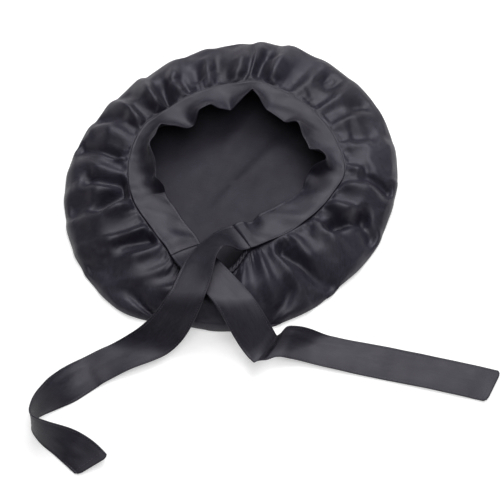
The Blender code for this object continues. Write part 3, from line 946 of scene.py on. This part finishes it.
def stitchTree():
    # one small rounded stitch at each step along every line
    tree = bpy.data.node_groups.new("stitches", "GeometryNodeTree")
    tree.interface.new_socket("Geometry", in_out="INPUT", socket_type="NodeSocketGeometry")
    for name in ("Pitch", "Length", "Width", "Height", "Uneven"):
        tree.interface.new_socket(name, in_out="INPUT", socket_type="NodeSocketFloat")
    kinds = {"Segments": "Int", "Rings": "Int", "Seed": "Int", "Thread": "Material"}
    for name, kind in kinds.items():
        tree.interface.new_socket(name, in_out="INPUT", socket_type="NodeSocket" + kind)
    tree.interface.new_socket("Geometry", in_out="OUTPUT", socket_type="NodeSocketGeometry")
    entry = tree.nodes.new("NodeGroupInput")
    given = {socket.name: Wire(tree, socket) for socket in entry.outputs if socket.name}
    lines = addNode(tree, "GeometryNodeMeshToCurve", None, {"Mesh": given["Geometry"]})
    steps = addNode(
        tree, "GeometryNodeResampleCurve", {"mode": "LENGTH"},
        {"Curve": lines, "Length": given["Pitch"]},
    )
    onward = addNode(tree, "GeometryNodeInputTangent")
    up = addNode(
        tree, "GeometryNodeInputNamedAttribute", {"data_type": "FLOAT_VECTOR"}, {"Name": "up"},
    )
    turn = addNode(tree, "FunctionNodeAlignRotationToVector", {"axis": "X"}, {"Vector": onward})
    turn = addNode(
        tree, "FunctionNodeAlignRotationToVector", {"axis": "Z", "pivot_axis": "X"},
        {"Rotation": turn, "Vector": up},
    )
    size = addNode(
        tree, "ShaderNodeCombineXYZ", None,
        {"X": given["Length"], "Y": given["Width"], "Z": given["Height"]},
    )
    chance = addNode(
        tree, "FunctionNodeRandomValue", {"data_type": "FLOAT"},
        {2: 1 - given["Uneven"], 3: 1 + given["Uneven"], "Seed": given["Seed"]}, 1,
    )
    size = addNode(tree, "ShaderNodeVectorMath", {"operation": "SCALE"}, {0: size, "Scale": chance})
    bead = addNode(
        tree, "GeometryNodeMeshUVSphere", None,
        {"Segments": given["Segments"], "Rings": given["Rings"], "Radius": 0.5},
    )
    placed = addNode(
        tree, "GeometryNodeInstanceOnPoints", None,
        {"Points": steps, "Instance": bead, "Rotation": turn, "Scale": size},
    )
    whole = addNode(tree, "GeometryNodeRealizeInstances", None, {"Geometry": placed})
    painted = addNode(
        tree, "GeometryNodeSetMaterial", None, {"Geometry": whole, "Material": given["Thread"]},
    )
    leave = tree.nodes.new("NodeGroupOutput")
    tree.links.new(painted.socket, leave.inputs["Geometry"])
    return tree


def acrossAt(rows, inset):
    share = inset / strip["width"]
    return np.array([[np.interp(share, across, row[:, k]) for k in range(3)] for row in rows])


def rowsOfStitches(ribs, insets, endInset=None):
    # lines on both faces of a strip, each with the way up of its face
    lines = []
    normal = gridNormals(ribs)
    normal[:2], normal[-2:] = normal[2], normal[-3]
    for inset in insets:
        middle, up = acrossAt(ribs, inset), acrossAt(normal, inset)
        half = float(plyHalf(min(inset, strip["width"] - inset)))
        for face in (1, -1):
            lines.append((middle + face * half * up, face * up))
    if endInset:
        station = len(ribs) - 1 - round(endInset / ties["length"] * ties["stations"])
        for face in (1, -1):
            half = plyHalf(np.minimum(across, 1 - across) * strip["width"])[:, None]
            row = ribs[station] + face * half * normal[station]
            inside = slice(thread["skipEdge"], -thread["skipEdge"])
            lines.append((row[inside], face * normal[station][inside]))
    return lines


def casingRows():
    first, last = band["end"] - fullTurn + casing["margin"], band["start"] - casing["margin"]
    margin = casing["seamMargin"]
    angle = np.linspace(first + margin, last - margin, casing["seamStations"])
    top = crown["height"] - crown["seamDrop"] - napeSink(angle) + strip["gap"] + casing["thickness"]
    ruche = casing["ruche"] * (0.2 + 0.5 * np.abs(np.sin(np.radians(angle * 90))))
    lines = []
    for inset in (casing["seamInset"], casing["width"] - casing["seamInset"]):
        points = onCircle(seamRadius(angle) - inset, angle, top - 0.0005 + ruche)
        lines.append((points, np.tile([0.0, 0.0, 1.0], (len(points), 1))))
    return lines


def sewLines(lines):
    points = np.concatenate([line for line, _ in lines])
    ups = np.concatenate([up for _, up in lines])
    edges, first = [], 0
    for line, _ in lines:
        edges += [(first + k, first + k + 1) for k in range(len(line) - 1)]
        first += len(line)
    mesh = bpy.data.meshes.new("stitches")
    mesh.from_pydata([tuple(p) for p in points], edges, [])
    ways = mesh.attributes.new("up", "FLOAT_VECTOR", "POINT")
    ways.data.foreach_set("vector", ups.astype(np.float32).ravel())
    obj = bpy.data.objects.new("stitches", mesh)
    bpy.context.scene.collection.objects.link(obj)
    tree = stitchTree()
    sewn = obj.modifiers.new("sewn", "NODES")
    sewn.node_group = tree
    sockets = [item for item in tree.interface.items_tree if item.in_out == "INPUT"]
    ids = {socket.name: socket.identifier for socket in sockets}
    for key in ("pitch", "length", "width", "height", "uneven", "segments", "rings", "seed"):
        sewn[ids[key.capitalize()]] = thread[key]
    sewn[ids["Thread"]] = threadMaterial()
    applyModifiers(obj)
    obj.data.shade_smooth()
    return obj


edgeRows = (strip["groove"], strip["width"] - strip["groove"])
stitches = sewLines(
    rowsOfStitches(bandRibs, edgeRows)
    + rowsOfStitches(leftRibs, edgeRows, thread["hem"])
    + rowsOfStitches(rightRibs, edgeRows, thread["hem"])
    + casingRows()
)
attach(stitches, "root")
print("stitches made:", len(stitches.data.polygons), "faces")


# floor, light and camera

studio = {
    "target": (0.018, -0.077, 0.0),
    "elevation": 64.0,
    "distance": 1.5,
    "lens": 105.0,
    "floor": (0.70, 0.70, 0.70, 1),
    "floorDrop": 0.0002,
    "floorSize": 12,
    "floorRoughness": 0.85,
    "floorSpecular": 0.1,
    "sensor": 36.0,
    "world": 0.08,
    "glow": 0.42,
}
# place, size, power
lights = {
    "key": ((0.18, 0.86, 1.35), 1.2, 27.5),
    "fill": ((0.12, -0.34, 1.50), 1.0, 12.0),
}


def makeStudio():
    low = (0, 0, -studio["floorDrop"])
    bpy.ops.mesh.primitive_plane_add(size=studio["floorSize"], location=low)
    floor = bpy.context.object
    floor.name = "floor"
    paint = bpy.data.materials.new("floor_paint")
    paint.use_nodes = True
    shader = paint.node_tree.nodes["Principled BSDF"]
    shader.inputs["Base Color"].default_value = studio["floor"]
    shader.inputs["Roughness"].default_value = studio["floorRoughness"]
    shader.inputs["Specular IOR Level"].default_value = studio["floorSpecular"]
    shader.inputs["Emission Color"].default_value = (1, 1, 1, 1)
    shader.inputs["Emission Strength"].default_value = studio["glow"]
    floor.data.materials.append(paint)
    world = bpy.data.worlds.new("studio")
    world.use_nodes = True
    sky = world.node_tree.nodes["Background"]
    sky.inputs["Color"].default_value = (1, 1, 1, 1)
    sky.inputs["Strength"].default_value = studio["world"]
    bpy.context.scene.world = world
    for name, (place, size, power) in lights.items():
        light = bpy.data.lights.new(name, "AREA")
        light.energy = power
        light.size = size
        lamp = bpy.data.objects.new(name, light)
        lamp.location = place
        lamp.rotation_euler = (-Vector(place)).to_track_quat("-Z", "Y").to_euler()
        bpy.context.scene.collection.objects.link(lamp)
    tilt = math.radians(studio["elevation"])
    back = Vector((0, -math.cos(tilt), math.sin(tilt)))
    lens = bpy.data.cameras.new("camera")
    lens.lens = studio["lens"]
    lens.sensor_width = studio["sensor"]
    camera = bpy.data.objects.new("camera", lens)
    camera.location = Vector(studio["target"]) + back * studio["distance"]
    camera.rotation_euler = (-back).to_track_quat("-Z", "Y").to_euler()
    bpy.context.scene.collection.objects.link(camera)
    bpy.context.scene.camera = camera
    bpy.context.scene.view_settings.view_transform = "Standard"


makeStudio()
print("studio made")
